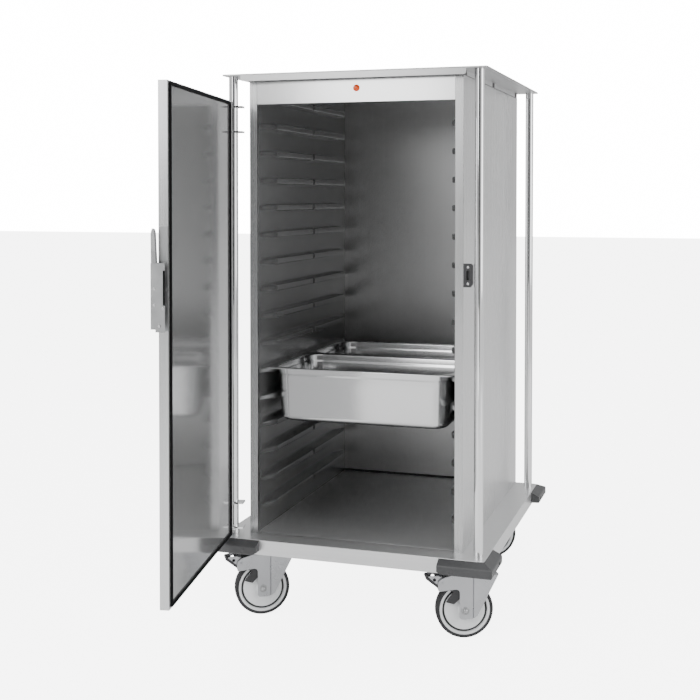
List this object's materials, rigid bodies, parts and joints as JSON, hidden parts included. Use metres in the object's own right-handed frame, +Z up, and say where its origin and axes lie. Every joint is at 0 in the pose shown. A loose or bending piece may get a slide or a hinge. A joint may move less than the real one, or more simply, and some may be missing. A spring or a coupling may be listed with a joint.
{
  "type": "enclosed tray cart",
  "caption": "Enclosed steel tray cart on swivel castors: cabinet with tray runners, hinged door with a lever latch, corner posts, flat roof and two deep pans.",
  "frame": {"origin": "on the floor, under the middle of the base plate", "axes": "+X to the cart's right as seen from the front, +Y to the back, +Z up; the door is on the -Y side"},
  "size_m": [0.7832, 1.499, 1.475],
  "materials": {
    "stainless": "brushed stainless steel sheet",
    "polished_steel": "polished stainless tube and fittings",
    "inner_steel": "brushed stainless steel lining",
    "bumper": "dark grey moulded plastic",
    "seal": "black rubber",
    "marker": "orange plastic button",
    "strike": "black moulded plastic",
    "zinc": "zinc plated steel",
    "wheel_grey": "light grey plastic wheel",
    "tyre": "dark grey rubber tyre",
    "pan_steel": "satin stainless steel"
  },
  "bodies": {
    "cabinet": {"base_plate": "stainless", "front_cross_rail": "stainless", "back_cross_rail": "stainless", "front_bumpers": "bumper", "back_bumpers": "bumper", "bumper_screws": "polished_steel", "front_left_post": "polished_steel", "front_right_post": "polished_steel", "back_left_post": "polished_steel", "back_right_post": "polished_steel", "left_side_panel": "stainless", "right_side_panel": "stainless", "back_panel": "stainless", "left_inner_wall": "inner_steel", "right_inner_wall": "inner_steel", "back_inner_wall": "inner_steel", "left_runners": "inner_steel", "right_runners": "inner_steel", "floor_liner": "inner_steel", "ceiling_liner": "inner_steel", "header_panel": "stainless", "header_marker": "marker", "vent_frame": "stainless", "roof": "stainless", "strike_block": "strike", "strike_screws": "polished_steel", "hinge_ring": "polished_steel", "castor_heads": "zinc"},
    "door": {"door_outer_skin": "stainless", "door_inner_skin": "inner_steel", "door_seal": "seal", "upper_hinge": "polished_steel", "lower_hinge": "polished_steel", "hinge_screws": "polished_steel", "latch_housing": "stainless", "latch_plate": "zinc", "latch_screws": "polished_steel", "latch_pin": "polished_steel", "latch_spring": "polished_steel"},
    "latch": {"latch_lever": "stainless"},
    "front_pan": {"front_pan": "pan_steel"},
    "back_pan": {"back_pan": "pan_steel"},
    "front_left_castor": {"front_left_fork": "zinc", "front_left_axle": "zinc"},
    "front_left_wheel": {"front_left_hub": "wheel_grey", "front_left_tyre": "tyre"},
    "front_left_pedal": {"front_left_pedal": "zinc"},
    "front_right_castor": {"front_right_fork": "zinc", "front_right_axle": "zinc"},
    "front_right_wheel": {"front_right_hub": "wheel_grey", "front_right_tyre": "tyre"},
    "front_right_pedal": {"front_right_pedal": "zinc"},
    "back_left_castor": {"back_left_fork": "zinc", "back_left_axle": "zinc"},
    "back_left_wheel": {"back_left_hub": "wheel_grey", "back_left_tyre": "tyre"},
    "back_right_castor": {"back_right_fork": "zinc", "back_right_axle": "zinc"},
    "back_right_wheel": {"back_right_hub": "wheel_grey", "back_right_tyre": "tyre"}
  },
  "joints": [
    {"name": "door_hinge", "type": "hinge", "parent": "cabinet", "child": "door", "pos_m": [-0.34, -0.383, 0.8], "axis": [0, 0, 1], "range_deg": [-190, 80]},
    {"name": "latch_lever_hinge", "type": "hinge", "parent": "door", "child": "latch", "pos_m": [-0.24011, -1.0244, 0.86], "axis": [0.1736, -0.9848, 0], "range_deg": [-10, 0]},
    {"name": "front_left_castor_swivel", "type": "hinge", "parent": "cabinet", "child": "front_left_castor", "pos_m": [-0.24, -0.355, 0.17], "axis": [0, 0, 1], "continuous": true},
    {"name": "front_left_wheel_spin", "type": "hinge", "parent": "front_left_castor", "child": "front_left_wheel", "pos_m": [-0.26425, -0.369, 0.075], "axis": [-0.5, 0.866, 0], "continuous": true},
    {"name": "front_left_pedal_hinge", "type": "hinge", "parent": "front_left_castor", "child": "front_left_pedal", "pos_m": [-0.31621, -0.399, 0.149], "axis": [-0.5, 0.866, 0], "range_deg": [-12, 0]},
    {"name": "front_right_castor_swivel", "type": "hinge", "parent": "cabinet", "child": "front_right_castor", "pos_m": [0.325, -0.355, 0.17], "axis": [0, 0, 1], "continuous": true},
    {"name": "front_right_wheel_spin", "type": "hinge", "parent": "front_right_castor", "child": "front_right_wheel", "pos_m": [0.29904, -0.36549, 0.075], "axis": [-0.3746, 0.9272, 0], "continuous": true},
    {"name": "front_right_pedal_hinge", "type": "hinge", "parent": "front_right_castor", "child": "front_right_pedal", "pos_m": [0.24341, -0.38797, 0.149], "axis": [-0.3746, 0.9272, 0], "range_deg": [-12, 0]},
    {"name": "back_left_castor_swivel", "type": "hinge", "parent": "cabinet", "child": "back_left_castor", "pos_m": [-0.262, 0.355, 0.17], "axis": [0, 0, 1], "continuous": true},
    {"name": "back_left_wheel_spin", "type": "hinge", "parent": "back_left_castor", "child": "back_left_wheel", "pos_m": [-0.28717, 0.34273, 0.075], "axis": [-0.4384, 0.8988, 0], "continuous": true},
    {"name": "back_right_castor_swivel", "type": "hinge", "parent": "cabinet", "child": "back_right_castor", "pos_m": [0.262, 0.355, 0.17], "axis": [0, 0, 1], "continuous": true},
    {"name": "back_right_wheel_spin", "type": "hinge", "parent": "back_right_castor", "child": "back_right_wheel", "pos_m": [0.23683, 0.34273, 0.075], "axis": [-0.4384, 0.8988, 0], "continuous": true},
    {"name": "front_pan_slide", "type": "slide", "parent": "cabinet", "child": "front_pan", "axis": [0, 1, 0], "range_m": [-0.3, 0]},
    {"name": "back_pan_slide", "type": "slide", "parent": "cabinet", "child": "back_pan", "axis": [0, 1, 0], "range_m": [0, 0.09]}
  ]
}
